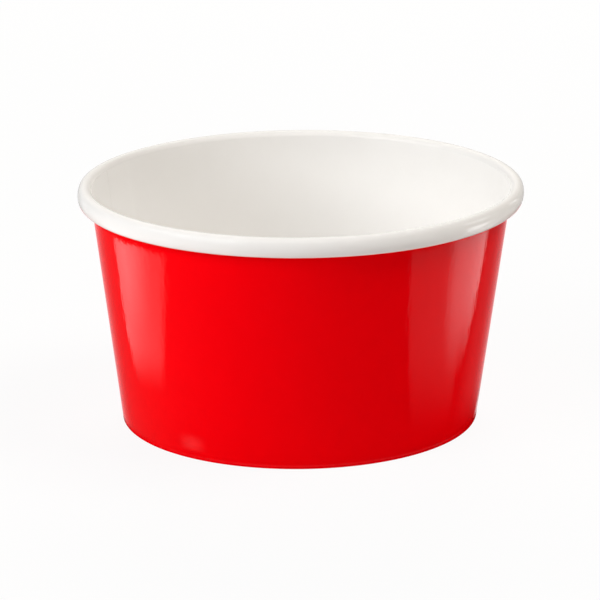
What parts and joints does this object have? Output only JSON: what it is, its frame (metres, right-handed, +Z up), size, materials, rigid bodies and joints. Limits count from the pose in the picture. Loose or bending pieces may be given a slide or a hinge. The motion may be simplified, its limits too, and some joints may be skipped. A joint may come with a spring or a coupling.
{
  "type": "paper ice cream cup",
  "caption": "Squat conical paper cup with a rolled rim, a lapped side seam and a recessed base sealed in a folded foot, for serving ice cream.",
  "frame": {"origin": "centre of the foot, on the surface that the cup stands on", "axes": "+Z up the cup's axis, out of its mouth; +X to the right as the picture shows the cup, +Y away from the viewer"},
  "size_m": [0.096, 0.096, 0.0523],
  "materials": {
    "printed_board": "gloss red print outside, white coated board inside and over the rolled rim",
    "white_board": "satin coated white board"
  },
  "bodies": {
    "root": {"side_wall": "printed_board", "base": "white_board"}
  },
  "joints": []
}
